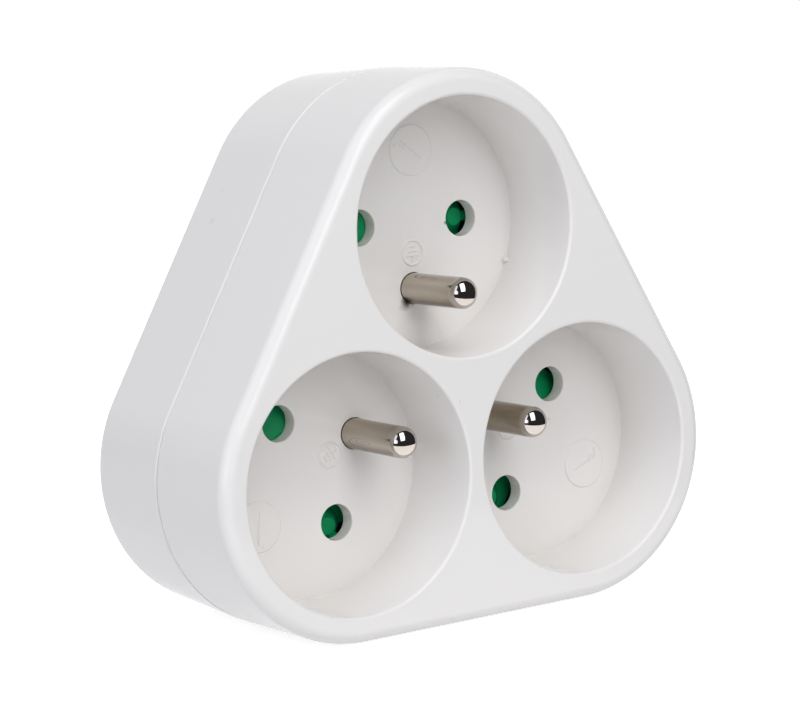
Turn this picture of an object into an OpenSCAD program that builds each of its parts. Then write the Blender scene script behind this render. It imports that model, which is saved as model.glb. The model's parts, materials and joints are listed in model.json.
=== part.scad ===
// Three-way plug-in socket adapter.
// A rounded triangular block in two covers, with three round earthed sockets in its face and a round
// plug body on its back. Inside, a carrier guides the shutters and holds the contacts, and three bars
// join the sockets to the plug.
//
// The drawing lies on the bench with its sockets up: x to the right, y towards the block's apex and z
// towards the face. Depths are measured down from the face. on_wall() then turns the part as it hangs
// on a wall, apex up, with the plug face's centre at the origin.

/* [Block] */
// Distance of each socket's centre from the middle of the block
socket_r = 24.2; // [23.8:0.1:25.4]
// Radius of the block's rounded corners at the parting line
corner_r = 23.9; // [23.6:0.1:25]
// Depth of the front cover, from the face to the parting line
front_d = 19; // [18.6:0.1:20.4]
// How far the front cover tapers in towards its face
front_taper = 0.2; // [0.1:0.1:0.5]
// How far the rear cover tapers in towards its back
rear_taper = 0.7; // [0.3:0.1:0.9]
// Rounding of the edge round the face
front_round = 2; // [1.2:0.1:2.4]
// Rounding of the edge round the back
back_round = 0.8; // [0.4:0.1:1.2]
// Wall of the two covers
wall = 2; // [1.8:0.1:2.3]
// Thickness of the back wall
back_wall = 1.8; // [1.6:0.1:2.4]
// Chamfer on the front cover's edge at the parting line
seam = 0.25; // [0.1:0.05:0.4]
// Chamfer on the rear cover's edge, a little wider
rear_seam = 0.4; // [0.2:0.05:0.5]

/* [Sockets] */
// Radius of a recess at its mouth
recess_r = 19.6; // [19:0.1:19.8]
// Depth of a recess
recess_d = 14.9; // [14:0.1:16]
// How far a recess narrows towards its floor
recess_taper = 0.3; // [0.1:0.1:0.5]
// Rounding of a recess's lip
lip_round = 0.5; // [0.2:0.1:0.6]
// Rounding between a recess's wall and its floor
floor_round = 0.4; // [0.3:0.1:1.5]
// Wall of a cup, at its mouth
cup_wall = 2.6; // [2.5:0.1:2.9]
// Thickness of a cup's floor
floor_t = 2.5; // [2:0.1:3]
// Spacing of the two pin holes
pin_gap = 19; // [18.6:0.1:19.4]
// Diameter of a pin hole
hole_d = 5.6; // [5.2:0.1:5.8]
// Diameter of an earth pin
earth_d = 4.8; // [4.6:0.1:5]
// How far an earth pin stands up from the floor
earth_h = 14.8; // [13.5:0.1:15.2]
// Distance of an earth pin from the line of the two holes
earth_off = 10.1; // [9.8:0.1:10.4]

/* [Shutters] */
// Thickness of a shutter
shutter_t = 3.4; // [3:0.1:4]
// Width of a shutter
shutter_w = 8.8; // [8.4:0.1:9.2]
// Travel of a shutter from closed to open
travel = 5.8; // [5.6:0.1:6]
// Gap between a shutter and what guides it
slide_gap = 0.3; // [0.2:0.05:0.4]
// Length of a shutter's spring when closed
spring_l = 8.7; // [8.2:0.1:9.2]
// Outer diameter of a spring
spring_d = 3; // [2.6:0.1:3.2]
// Wire diameter of a spring
wire_d = 0.4; // [0.3:0.05:0.45]
// Turns in a spring
spring_turns = 5; // [4:1:6]

/* [Contacts] */
// Diameter of a mating plug's pin
pin_d = 4.8; // [4.6:0.1:5]
// Length of a mating plug's pin
pin_l = 19; // [18.5:0.1:20]
// Thickness of the carrier's deck
deck_t = 2; // [1.6:0.1:2.6]
// Thickness of the bars
bar_t = 0.8; // [0.6:0.1:1]
// Width of the bars
bar_w = 3.2; // [2.8:0.1:3.4]
// Thickness of a contact clip's strip
clip_t = 0.5; // [0.4:0.05:0.6]
// Width of a contact clip
clip_w = 6; // [5.4:0.1:6.4]
// Height of the seats that hold the bars off the back wall
seat_h = 0.8; // [0.6:0.1:1.2]

/* [Plug] */
// Radius of the plug body
plug_r = 18.25; // [18:0.05:18.6]
// Depth of the plug body
plug_d = 16; // [15:0.1:17]
// Wall of the plug body
plug_wall = 2; // [1.8:0.1:2.2]
// Thickness of the plug's face
plug_face_t = 3; // [2.6:0.1:3.4]
// Length of a plug pin outside the plug's face
plug_pin_l = 19; // [18.5:0.1:19.5]
// Distance of the plug's earth hole from the line of its pins
plug_earth_off = 10; // [9.8:0.1:10.2]

/* [Screws] */
// Distance of each cover screw from the middle of the block
screw_r = 28; // [27.6:0.1:28.4]
// Diameter of a screw's shank
screw_d = 2.9; // [2.6:0.1:3]
// Length of a screw under its head
screw_l = 18; // [17:0.5:19]

/* [Hidden] */

// Smoothness of round faces
$fn = 96;
// Facets round a corner puck of the block, and round a whole circle of its edges
block_sides = 72;
edge_sides = 32;
// Smoothness of the springs: rings in a turn and sides of the wire
spring_rings = 12;
wire_sides = 6;
// Overrun of a cut past the face that it opens
over = 1;
// Bite of a piece into the piece that it grows from
bite = 0.2;

// Places in the three-fold layout
TOP = 0;
LEFT = 1;
RIGHT = 2;
LIVE = 1;
NEUTRAL = -1;
sides = [TOP, LEFT, RIGHT];
flat_r = socket_r * cos(60);

// Depths of the layers below the face, from front to back
face_t = wall;
floor_back = recess_d + floor_t;
shutter_front = floor_back + slide_gap * 2 / 3;
shutter_back = shutter_front + shutter_t;
deck_front = shutter_back + slide_gap;
deck_back = deck_front + deck_t;
plate_back = deck_back + bar_t;
pin_reach = recess_d + pin_l;
rivet_head_t = clip_t;
pin_end_gap = 0.1;
clip_base = pin_reach + pin_end_gap + rivet_head_t;
bar_front = clip_base + clip_t;
bar_back = bar_front + bar_t;
back_inner = bar_back + seat_h;
body_d = back_inner + back_wall;
overall_d = body_d + plug_d;

// Radii of the covers, from the line that joins the corner centres
front_edge_r = corner_r - front_taper;
back_edge_r = corner_r - rear_taper;
inner_r = corner_r - wall;
floor_r = recess_r - recess_taper;
cup_r = recess_r + cup_wall;
deck_share = (deck_back - front_d) / (back_inner - front_d);
deck_r = inner_r - rear_taper * deck_share - slide_gap;

// Tongue of the front cover in the rebate of the rear cover
tongue_t = 0.9;
tongue_h = 1.5;
tongue_gap = 0.15;

// Gap between pieces that are pushed together
fit_gap = 0.15;

// Earth pin: neck in the floor, collar behind it, shank to the earth bar and riveted tail
neck_step = 0.3;
neck_gap = 0.5;
collar_step = 1.3;
collar_t = 1.4;
shank_share = 0.75;
tail_share = 0.75;
tail_head_share = 1.15;
tail_head_t = 0.6;
neck_d = earth_d - 2 * neck_step;
collar_d = earth_d + 2 * collar_step;
shank_d = earth_d * shank_share;
tail_d = shank_d * tail_share;
tail_head_d = shank_d * tail_head_share;

// Shutter: ramps that a plug's pins push down, and the window that comes under a hole
window_r = pin_d / 2 + slide_gap;
window_u = pin_gap / 2 - travel;
shutter_left_u = -(pin_gap + hole_d) / 2 - slide_gap / 3;
shutter_right_u = (pin_gap + hole_d) / 2 + slide_gap;
ramp_foot_t = 0.8;
ramp_top_left_u = -(pin_gap - hole_d) / 2 - slide_gap;
ramp_step_u = window_u + window_r / 2;
cone_top_r = 1.35;
cone_lead = 1.4;
cone_drop = 1;
cone_u = pin_gap / 2 + cone_lead;
cone_foot_r = cone_top_r + shutter_t - ramp_foot_t - cone_drop;
spring_axis = (shutter_front + shutter_back) / 2;
peg_gap = 0.2;
peg_d = spring_d - 2 * (wire_d + peg_gap);
peg_l = 1.1;
coil_gap = 0.05;

// Channel of a shutter on the deck
rail_t = 1.2;
rail_v = shutter_w / 2 + slide_gap;
rail_front = floor_back + slide_gap;
stop_u = shutter_left_u - slide_gap;
spring_seat_u = shutter_right_u + spring_l;
spring_seat_rim = 1.1;
spring_seat_w = spring_d + 2 * spring_seat_rim;
rail_end_u = shutter_right_u + travel + rail_t;

// Contact clip: half widths of its base, its pinch and its mouth, and the depths of its bends
clip_spread = 1.5;
clip_pinch = 0.05;
clip_flare = 1.2;
clip_clear = 0.5;
pinch_share = 0.25;
shoulder_share = 0.55;
clip_half = pin_d / 2 + clip_spread;
pinch_half = pin_d / 2 - clip_pinch;
mouth_half = pin_d / 2 + clip_flare;
clip_front = plate_back + clip_clear;
clip_span = clip_base - clip_front;
pinch_depth = clip_front + clip_span * pinch_share;
shoulder_depth = clip_front + clip_span * shoulder_share;
rivet_d = 2;
rivet_hole_gap = 0.05;
rivet_head_d = 3.6;
pocket_wall = 1;
pocket_gap = 0.3;
deck_hole_gap = 0.7;
deck_hole_d = pin_d + 2 * deck_hole_gap;

// Bars: their pads, the runs below the plug pins, and the neutral bar's dip behind the live one
pad_r = 3.6;
joint_share = 0.55;
plug_pad_r = 3.2;
run_drop = 6.5;
run_step = 4.5;
dip = 3;
dip_lead = 2;
riser_inset = 3.25;
riser_step = 2.2;
reach_in_share = 0.82;
joint_r = bar_w * joint_share;
plug_in_r = plug_r - plug_wall;
dip_front = bar_back + dip;
dip_back = dip_front + bar_t;
dip_top = plug_pad_r + dip_lead;
riser_x = plug_in_r - riser_inset;
riser_drop = run_drop + bar_w / 2 + riser_step;
live_turn = run_drop + run_step;

// Earth bar
arm_w = 5;
arm_pad_r = 3.4;
earth_place_r = socket_r - earth_off;

// Plug pins: shank inside the face, neck through the bar and riveted head, and the bosses round them
plug_shoulder = 0.4;
plug_neck_share = 0.75;
plug_head_share = 1.15;
plug_head_t = 0.7;
pin_boss_wall = 1.5;
pin_boss_h = 8;
plug_shank_d = pin_d - 2 * plug_shoulder;
plug_neck_d = plug_shank_d * plug_neck_share;
plug_head_d = plug_shank_d * plug_head_share;
pin_boss_r = plug_shank_d / 2 + pin_boss_wall;

// Plug body: rounding round its face, and its two guide notches
plug_edge_round = 1.2;
notch_w = 5.2;
notch_d = 2.6;

// Plug's earth sleeve: bore, wall, flange behind the strap, and the stem to the earth bar, which stands
// clear of the nearest earth pin's tail
sleeve_bore_gap = 0.25;
sleeve_wall = 0.85;
sleeve_start = 1;
sleeve_bore_l = 14.5;
sleeve_end_t = 1.5;
sleeve_flange = 0.7;
sleeve_flange_t = 0.8;
earth_hole_gap = 0.25;
stem_d = 2.8;
stem_neck_share = 0.75;
stem_head_share = 1.2;
stem_head_t = 0.7;
stem_room = 0.35;
foot_rim = 1.4;
sleeve_bore_d = earth_d + 2 * sleeve_bore_gap;
sleeve_d = sleeve_bore_d + 2 * sleeve_wall;
sleeve_flange_d = sleeve_d + 2 * sleeve_flange;
earth_hole_d = sleeve_bore_d + 2 * earth_hole_gap;
stem_neck_d = stem_d * stem_neck_share;
stem_head_d = stem_d * stem_head_share;
stem_off = earth_place_r - (tail_head_d + stem_head_d) / 2 - stem_room;
foot_r = stem_d / 2 + foot_rim;

// Side earth clip: the strap across the plug, its eye round the sleeve, and its grooves
strap_w = 5;
strap_t = 0.6;
strap_gap = 0.2;
strap_inset = 0.5;
strap_end_gap = 2.2;
strap_bow = 0.5;
bow_shares = [0.25, 0.5, 0.75];
strap_eye_rim = 1.8;
groove_gap = 0.3;
strap_z = plug_face_t + strap_gap;
strap_reach = plug_r - strap_inset;
strap_end_z = plug_d - strap_end_gap;
strap_eye_r = sleeve_d / 2 + strap_eye_rim;

// Screws and their bosses
screw_head_d = 5.4;
screw_head_h = 2.2;
screw_gap = 0.05;
screw_seat_t = 7.1;
head_gap = 0.4;
front_boss_r = 3.5;
rear_boss_r = 4.6;
rib_t = 1.2;
head_bore_d = screw_head_d + 2 * head_gap;
head_seat = deck_back + screw_seat_t;
screw_tip = head_seat - screw_l;

white = "#e8e8ea";
green = "#00804f";
navy = "#1c2c5e";
nickel = "#b9b0a3";
brass = "#c9a24f";
steel = "#a9acb0";

// Height of a depth above the bench, where the plug's face is zero
function up(depth) = overall_d - depth;

// Stands the part up as it hangs on the wall, with its sockets towards -Y
module on_wall() {
    rotate([90, 0, 0]) children();
}

// Moves to one socket: x along its pin holes, y away from the middle of the block
module at_socket(side) {
    rotate(120 * side) translate([0, socket_r, 0]) children();
}

// Moves to one socket's shutter, whose x runs the way it slides. The left one slides the other way, so
// that the two lower springs lie side by side
module at_shutter(side) {
    at_socket(side) mirror([side == LEFT ? 1 : 0, 0, 0]) children();
}

// Moves to each cover screw, in the middle of each flat side
module at_screws() {
    for (side = sides) rotate(120 * side + 30) translate([screw_r, 0, 0]) children();
}

// Extrudes a flat shape between two depths
module layer(from_depth, to_depth) {
    translate([0, 0, up(to_depth)]) linear_extrude(to_depth - from_depth) children();
}

module disc(r, from_depth, to_depth) {
    layer(from_depth, to_depth) circle(r);
}

// A block with the part's rounded triangular outline. Its section is turned into a puck at each corner,
// and the hull of the three pucks gives the flat sides, with the same taper and the same rounded edges.
// The section's x runs outwards from the corner's centre.
module block_of() {
    hull() for (side = sides) at_socket(side) rotate_extrude($fn = block_sides) children();
}

// A block of even section: the outline at one radius, between two depths
module even_block(r, from_depth, to_depth) {
    block_of() translate([0, up(to_depth)]) square([r, to_depth - from_depth]);
}

// Outer section of the front cover, with its rounded front edge
module front_section() {
    polygon([[0, up(front_d)], [corner_r - seam, up(front_d)], [corner_r, up(front_d - seam)],
        [front_edge_r, up(front_round)], [front_edge_r - front_round, up(0)], [0, up(0)]]);
    translate([front_edge_r - front_round, up(front_round)]) circle(front_round, $fn = edge_sides);
}

// Outer section of the rear cover, with its rounded back edge
module rear_section() {
    polygon([[0, up(body_d)], [back_edge_r - back_round, up(body_d)],
        [back_edge_r, up(body_d - back_round)], [corner_r, up(front_d + rear_seam)],
        [corner_r - rear_seam, up(front_d)], [0, up(front_d)]]);
    translate([back_edge_r - back_round, up(body_d - back_round)]) circle(back_round, $fn = edge_sides);
}

// Half section of one recess: tapered wall, rounded lip and rounded floor corner
module recess_section() {
    polygon([[0, up(recess_d)], [floor_r - floor_round, up(recess_d)],
        [floor_r, up(recess_d - floor_round)], [recess_r, up(lip_round)],
        [recess_r, up(-over)], [0, up(-over)]]);
    translate([floor_r - floor_round, up(recess_d - floor_round)]) circle(floor_round);
    difference() {
        translate([recess_r - bite, up(lip_round)]) square([lip_round + bite, lip_round + over]);
        translate([recess_r + lip_round, up(lip_round)]) circle(lip_round);
    }
}

// Ribs from a screw boss to the flat side behind it
module boss_ribs(from_depth, to_depth) {
    layer(from_depth, to_depth) translate([0, -rib_t / 2])
        square([flat_r + inner_r + bite - screw_r, rib_t]);
}

module front_cover() {
    tongue_end = front_d + tongue_h;
    color(white) on_wall() {
        difference() {
            union() {
                block_of() front_section();
                even_block(inner_r + tongue_t, front_d - bite, tongue_end);
            }
            difference() {
                even_block(inner_r, face_t, tongue_end + over);
                for (side = sides) at_socket(side) disc(cup_r, 0, floor_back);
                at_screws() {
                    disc(front_boss_r, 0, tongue_end + over);
                    boss_ribs(0, floor_back);
                }
            }
            for (side = sides) at_socket(side) {
                rotate_extrude() recess_section();
                for (pole = [LIVE, NEUTRAL]) translate([pole * pin_gap / 2, 0, 0])
                    disc(hole_d / 2, recess_d - over, floor_back + over);
                translate([0, -earth_off, 0])
                    disc(neck_d / 2 + neck_gap, recess_d - over, floor_back + over);
            }
            at_screws() disc(screw_d / 2 + screw_gap, screw_tip - over, tongue_end + over);
        }
        difference() {
            at_screws() disc(front_boss_r, front_d, deck_front);
            at_screws() disc(screw_d / 2 + screw_gap, front_d - over, deck_front + over);
        }
    }
}

// Space inside the plug body, which leaves walls round the two guide notches
module plug_cavity() {
    difference() {
        translate([0, 0, plug_face_t]) cylinder(r = plug_in_r, h = plug_d + back_wall);
        for (side = [-1, 1]) translate([side * plug_r, 0, overall_d / 2])
            cube([2 * (notch_d + plug_wall), notch_w + 2 * plug_wall, overall_d], center = true);
    }
}

// Outer section of the plug body, with its rounded face edge
module plug_section() {
    polygon([[0, 0], [plug_r - plug_edge_round, 0], [plug_r, plug_edge_round],
        [plug_r, plug_d + bite], [0, plug_d + bite]]);
    translate([plug_r - plug_edge_round, plug_edge_round]) circle(plug_edge_round);
}

// Grooves in the plug's top and bottom for the side earth clip, and the slots it comes through
module plug_grooves() {
    groove_w = strap_w + 2 * groove_gap;
    groove_y = strap_reach - strap_t - groove_gap;
    for (turn = [0, 180]) rotate(turn) translate([-groove_w / 2, 0, plug_face_t]) {
        translate([0, groove_y, 0]) cube([groove_w, plug_r - groove_y + over, plug_d - plug_face_t]);
        translate([0, plug_in_r - over, 0]) cube([groove_w, plug_wall + over, strap_t + 2 * groove_gap]);
    }
}

// Hole for a wall socket's earth pin, and the room behind it for the sleeve, the strap's eye and the foot
module sleeve_room() {
    translate([0, plug_earth_off, -over]) cylinder(d = earth_hole_d, h = plug_face_t + 2 * over);
    translate([0, plug_earth_off, sleeve_start]) cylinder(d = sleeve_d + fit_gap, h = plug_d);
    translate([0, plug_earth_off, plug_face_t]) cylinder(r = strap_eye_r + groove_gap, h = plug_d);
    translate([0, 0, plug_face_t]) linear_extrude(plug_d) foot_shape(foot_r + groove_gap);
}

module rear_cover() {
    color(white) on_wall() difference() {
        union() {
            difference() {
                block_of() rear_section();
                block_of() polygon([[0, up(back_inner)], [back_edge_r - wall, up(back_inner)],
                    [inner_r, up(front_d)], [inner_r, up(front_d - over)], [0, up(front_d - over)]]);
                even_block(inner_r + tongue_t + tongue_gap, front_d - over,
                    front_d + tongue_h + tongue_gap);
            }
            rotate_extrude() plug_section();
            at_screws() {
                disc(rear_boss_r, deck_back, body_d - bite);
                boss_ribs(deck_back, body_d - bite);
            }
            bar_places() disc(pad_r, bar_back, body_d - bite);
        }
        plug_cavity();
        bar_places() disc(rivet_head_d / 2 + slide_gap, bar_back - over, back_inner);
        at_screws() {
            disc(head_bore_d / 2, head_seat, body_d + over);
            disc(screw_d / 2 + slide_gap, deck_back - over, head_seat + over);
        }
        for (side = [-1, 1]) translate([side * plug_r, 0, (plug_d - over) / 2])
            cube([2 * notch_d, notch_w, plug_d + over], center = true);
        plug_grooves();
        for (pole = [LIVE, NEUTRAL]) translate([pole * pin_gap / 2, 0, -over])
            cylinder(d = plug_shank_d + fit_gap, h = overall_d);
        sleeve_room();
    }
    color(white) on_wall() difference() {
        for (pole = [LIVE, NEUTRAL]) translate([pole * pin_gap / 2, 0, plug_face_t - bite])
            cylinder(r = pin_boss_r, h = pin_boss_h + bite);
        for (pole = [LIVE, NEUTRAL]) translate([pole * pin_gap / 2, 0, 0])
            cylinder(d = plug_shank_d + fit_gap, h = overall_d);
    }
}

// Moves to each of the six places where a clip meets its bar
module bar_places() {
    for (side = sides) at_socket(side)
        for (pole = [LIVE, NEUTRAL]) translate([pole * pin_gap / 2, 0, 0]) children();
}

module block_between(u1, u2, v1, v2, from_depth, to_depth) {
    layer(from_depth, to_depth) translate([u1, v1]) square([u2 - u1, v2 - v1]);
}

// Channel of one shutter: two rails, the stop at its closed end and the seat of its spring
module shutter_channel() {
    for (side = [-1, 1]) {
        near_v = side < 0 ? -rail_v - rail_t : rail_v;
        block_between(stop_u - rail_t, rail_end_u, near_v, near_v + rail_t, rail_front, deck_front + bite);
    }
    block_between(stop_u - rail_t, stop_u, -rail_v - bite, rail_v + bite, rail_front, deck_front + bite);
    block_between(spring_seat_u, spring_seat_u + rail_t, -spring_seat_w / 2, spring_seat_w / 2,
        rail_front, deck_front + bite);
    translate([spring_seat_u + bite, 0, up(spring_axis)]) rotate([0, -90, 0])
        cylinder(d = peg_d, h = peg_l + bite);
}

// Pocket that surrounds one contact clip behind the deck
module pocket_wall_shape() {
    inner_u = clip_w + 2 * pocket_gap;
    inner_v = 2 * (clip_half + clip_t / 2 + pocket_gap);
    difference() {
        square([inner_u + 2 * pocket_wall, inner_v + 2 * pocket_wall], center = true);
        square([inner_u, inner_v], center = true);
    }
}

module contact_carrier() {
    color(navy) on_wall() difference() {
        union() {
            even_block(deck_r, deck_front, deck_back);
            for (side = sides) at_shutter(side) {
                shutter_channel();
                translate([0, -earth_off, 0]) disc(collar_d / 2 - fit_gap * 2,
                    floor_back + collar_t, deck_front + bite);
            }
            bar_places() layer(deck_back - bite, clip_base) pocket_wall_shape();
        }
        bar_places() disc(deck_hole_d / 2, deck_front - over, deck_back + over);
        for (side = sides) at_socket(side) translate([0, -earth_off, 0])
            disc(shank_d / 2 + fit_gap, floor_back, deck_back + over);
        at_screws() disc(screw_d / 2 + slide_gap, deck_front - over, deck_back + over);
        translate([0, stem_off, 0])
            disc(stem_head_d / 2 + fit_gap, deck_back - stem_head_t - fit_gap, deck_back + over);
    }
}

// What a pin's round end leaves of the corner of its half section
module dome_corner(r) {
    difference() {
        square(r + over);
        circle(r);
    }
}

// Half section of an earth pin: dome, exposed pin, neck in the floor, collar, shank and riveted tail
module earth_pin_section() {
    dome_r = earth_d / 2;
    tip = recess_d - earth_h;
    collar_back = floor_back + collar_t;
    tail_end = plate_back + tail_head_t;
    difference() {
        polygon([[0, up(tip)], [dome_r, up(tip)], [dome_r, up(recess_d)],
            [neck_d / 2, up(recess_d)], [neck_d / 2, up(floor_back)],
            [collar_d / 2, up(floor_back)], [collar_d / 2, up(collar_back)],
            [shank_d / 2, up(collar_back)], [shank_d / 2, up(deck_back)],
            [tail_d / 2, up(deck_back)], [tail_d / 2, up(plate_back)],
            [tail_head_d / 2, up(plate_back)], [tail_d / 2, up(tail_end)], [0, up(tail_end)]]);
        translate([0, up(tip + dome_r)]) dome_corner(dome_r);
    }
}

module earth_pin(side) {
    color(nickel) on_wall() at_socket(side) translate([0, -earth_off, 0])
        rotate_extrude() earth_pin_section();
}

// One shutter: a ramp under one hole and a lower cone under the other, which a plug's two pins push aside
// together, the window, and the peg in its spring
module shutter(side) {
    width = shutter_w;
    foot = shutter_back - ramp_foot_t;
    color(green) on_wall() at_shutter(side) {
        difference() {
            rotate([90, 0, 0]) translate([0, 0, -width / 2]) linear_extrude(width)
                polygon([[shutter_left_u, up(shutter_back)], [shutter_right_u, up(shutter_back)],
                    [shutter_right_u, up(foot)], [ramp_step_u, up(foot)], [ramp_step_u, up(shutter_front)],
                    [ramp_top_left_u, up(shutter_front)], [shutter_left_u, up(foot)]]);
            translate([window_u, 0, 0]) disc(window_r, shutter_front - over, shutter_back + over);
        }
        intersection() {
            translate([cone_u, 0, up(foot) - bite])
                cylinder(r1 = cone_foot_r + bite, r2 = cone_top_r, h = foot - shutter_front - cone_drop + bite);
            block_between(window_u, shutter_right_u, -width / 2, width / 2,
                shutter_front - over, shutter_back);
        }
        translate([shutter_right_u - bite, 0, up(spring_axis)]) rotate([0, 90, 0])
            cylinder(d = peg_d, h = peg_l + bite);
    }
}

// A coil along x, as rings of the wire joined up
module coil(length, coil_d, wire, turns) {
    rings = turns * spring_rings;
    r = (coil_d - wire) / 2;
    lead = length - wire;
    points = [for (i = [0 : rings]) let (a = 360 * i / spring_rings, x = wire / 2 + lead * i / rings)
        for (j = [0 : wire_sides - 1]) let (b = 360 * j / wire_sides, rr = r + wire / 2 * cos(b))
            [x + wire / 2 * sin(b), rr * cos(a), rr * sin(a)]];
    sides_faces = [for (i = [0 : rings - 1]) for (j = [0 : wire_sides - 1])
        let (k = (j + 1) % wire_sides, p = i * wire_sides, q = p + wire_sides)
            each [[p + j, q + j, q + k], [p + j, q + k, p + k]]];
    cap_start = [for (j = [0 : wire_sides - 1]) j];
    cap_end = [for (j = [wire_sides - 1 : -1 : 0]) rings * wire_sides + j];
    polyhedron(points, concat(sides_faces, [cap_start, cap_end]));
}

module shutter_spring(side) {
    color(steel) on_wall() at_shutter(side) translate([shutter_right_u + coil_gap, 0, up(spring_axis)])
        coil(spring_l - 2 * coil_gap, spring_d, wire_d, spring_turns);
}

// A flat strip through a list of places, with rounded knees
module track(places, width) {
    for (i = [0 : len(places) - 2]) {
        step = places[i + 1] - places[i];
        translate(places[i]) rotate(atan2(step[1], step[0])) translate([0, -width / 2])
            square([norm(step), width]);
    }
    for (place = places) translate(place) circle(joint_r);
}

// Where the contact of one pole stands in one socket, seen from the front
function contact_at(side, pole) = let (a = 120 * side)
    [pole * pin_gap / 2 * cos(a) - socket_r * sin(a), pole * pin_gap / 2 * sin(a) + socket_r * cos(a)];

module bar_pads(pole) {
    for (side = sides) translate(contact_at(side, pole)) circle(pad_r);
}

module bar_holes(pole) {
    for (side = sides) translate(contact_at(side, pole)) circle(rivet_d / 2 + rivet_hole_gap);
    translate([pole * pin_gap / 2, 0]) circle(plug_neck_d / 2 + rivet_hole_gap);
}

// The live bar lies flat: down past the plug pin, left to one socket and on to the other
module live_busbar() {
    trunk_x = pin_gap / 2;
    far = contact_at(LEFT, LIVE);
    color(brass) on_wall() layer(bar_front, bar_back) difference() {
        union() {
            track([contact_at(TOP, LIVE), [trunk_x, -live_turn], contact_at(RIGHT, LIVE)], bar_w);
            track([[trunk_x, -run_drop], [far[0] * reach_in_share, -run_drop], far], bar_w);
            translate([trunk_x, 0]) circle(plug_pad_r);
            bar_pads(LIVE);
        }
        bar_holes(LIVE);
    }
}

// The neutral bar dips behind the live one in the middle and comes up again to each socket
module neutral_busbar() {
    trunk_x = -pin_gap / 2;
    far = contact_at(RIGHT, NEUTRAL);
    near = contact_at(LEFT, NEUTRAL);
    half = bar_w / 2;
    color(brass) on_wall() difference() {
        union() {
            layer(bar_front, bar_back) {
                translate([trunk_x - half, dip_top]) square([bar_w, socket_r - dip_top]);
                translate([riser_x, -run_drop - half]) square([far[0] * reach_in_share - riser_x, bar_w]);
                track([[far[0] * reach_in_share, -run_drop], far], bar_w);
                track([[trunk_x, -riser_drop - half], near], bar_w);
                translate([trunk_x - half, -riser_drop - half]) square([bar_w, half + bar_t]);
                bar_pads(NEUTRAL);
            }
            layer(dip_front, dip_back) {
                translate([trunk_x - half, -riser_drop]) square([bar_w, riser_drop + dip_top + bar_t]);
                translate([trunk_x, -run_drop - half]) square([riser_x + bar_t - trunk_x, bar_w]);
                translate([trunk_x, 0]) circle(plug_pad_r);
            }
            layer(bar_front, dip_back) {
                translate([trunk_x - half, dip_top]) square([bar_w, bar_t]);
                translate([riser_x, -run_drop - half]) square([bar_t, bar_w]);
                translate([trunk_x - half, -riser_drop]) square([bar_w, bar_t]);
            }
        }
        layer(bar_front - over, dip_back + over) bar_holes(NEUTRAL);
    }
}

// The earth bar is a plate with three arms, one to each earth pin
module earth_busbar() {
    color(brass) on_wall() layer(deck_back, plate_back) difference() {
        for (side = sides) rotate(120 * side) {
            translate([-arm_w / 2, -arm_w / 2]) square([arm_w, earth_place_r + arm_w / 2]);
            translate([0, earth_place_r]) circle(arm_pad_r);
        }
        for (side = sides) rotate(120 * side) translate([0, earth_place_r])
            circle(tail_d / 2 + rivet_hole_gap);
        translate([0, stem_off]) circle(stem_neck_d / 2 + rivet_hole_gap);
    }
}

// Outline of a bent strip: a centre line given as points, with half the thickness on each side
function strip_side(line, half) = [for (i = [0 : len(line) - 1])
    let (before = line[max(i - 1, 0)], after = line[min(i + 1, len(line) - 1)],
        a = i > 0 ? (line[i] - before) / norm(line[i] - before) : [0, 0],
        b = i < len(line) - 1 ? (after - line[i]) / norm(after - line[i]) : [0, 0],
        along = (a + b) / norm(a + b),
        stretch = i > 0 && i < len(line) - 1 ? 1 / sqrt((1 + a * b) / 2) : 1)
    line[i] + half * stretch * [-along[1], along[0]]];

function reversed(list) = [for (i = [len(list) - 1 : -1 : 0]) list[i]];

module bent_strip(line, thickness) {
    polygon(concat(strip_side(line, thickness / 2), reversed(strip_side(line, -thickness / 2))));
}

// One contact clip: a base on its bar and two leaves that pinch the pin and flare at the mouth
module contact_clip(side, pole) {
    base = up(clip_base + clip_t / 2);
    leaf = [[clip_half, base], [clip_half, up(shoulder_depth)], [pinch_half, up(pinch_depth)],
        [mouth_half, up(clip_front)]];
    other = [for (p = reversed(leaf)) [-p[0], p[1]]];
    color(brass) on_wall() at_socket(side) translate([pole * pin_gap / 2, 0, 0]) difference() {
        rotate([90, 0, 90]) translate([0, 0, -clip_w / 2]) linear_extrude(clip_w)
            bent_strip(concat(other, leaf), clip_t);
        disc(rivet_d / 2 + rivet_hole_gap, clip_base - over, bar_front + over);
    }
}

// One rivet: a head in the clip, a shank through clip and bar, and a tail behind the bar
module contact_rivets() {
    head_front = clip_base - rivet_head_t;
    tail_t = seat_h / 2;
    color(steel) on_wall() bar_places() rotate_extrude()
        polygon([[0, up(head_front)], [rivet_d / 2, up(head_front)],
            [rivet_head_d / 2, up(clip_base)], [rivet_d / 2, up(clip_base)],
            [rivet_d / 2, up(bar_back)], [rivet_head_d / 2, up(bar_back)],
            [rivet_d / 2, up(bar_back + tail_t)], [0, up(bar_back + tail_t)]]);
}

// One plug pin: domed pin outside the face, thinner shank inside, riveted to its bar
module plug_pin(pole) {
    r = pin_d / 2;
    bar_under = pole == LIVE ? bar_back : dip_back;
    bar_over = bar_under - bar_t;
    head_end = bar_over - plug_head_t;
    color(nickel) on_wall() translate([pole * pin_gap / 2, 0, 0]) rotate_extrude() difference() {
        polygon([[0, -plug_pin_l], [r, -plug_pin_l], [r, 0], [plug_shank_d / 2, 0],
            [plug_shank_d / 2, up(bar_under)], [plug_neck_d / 2, up(bar_under)],
            [plug_neck_d / 2, up(bar_over)], [plug_head_d / 2, up(bar_over)],
            [plug_neck_d / 2, up(head_end)], [0, up(head_end)]]);
        translate([0, r - plug_pin_l]) mirror([0, 1]) dome_corner(r);
    }
}

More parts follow.
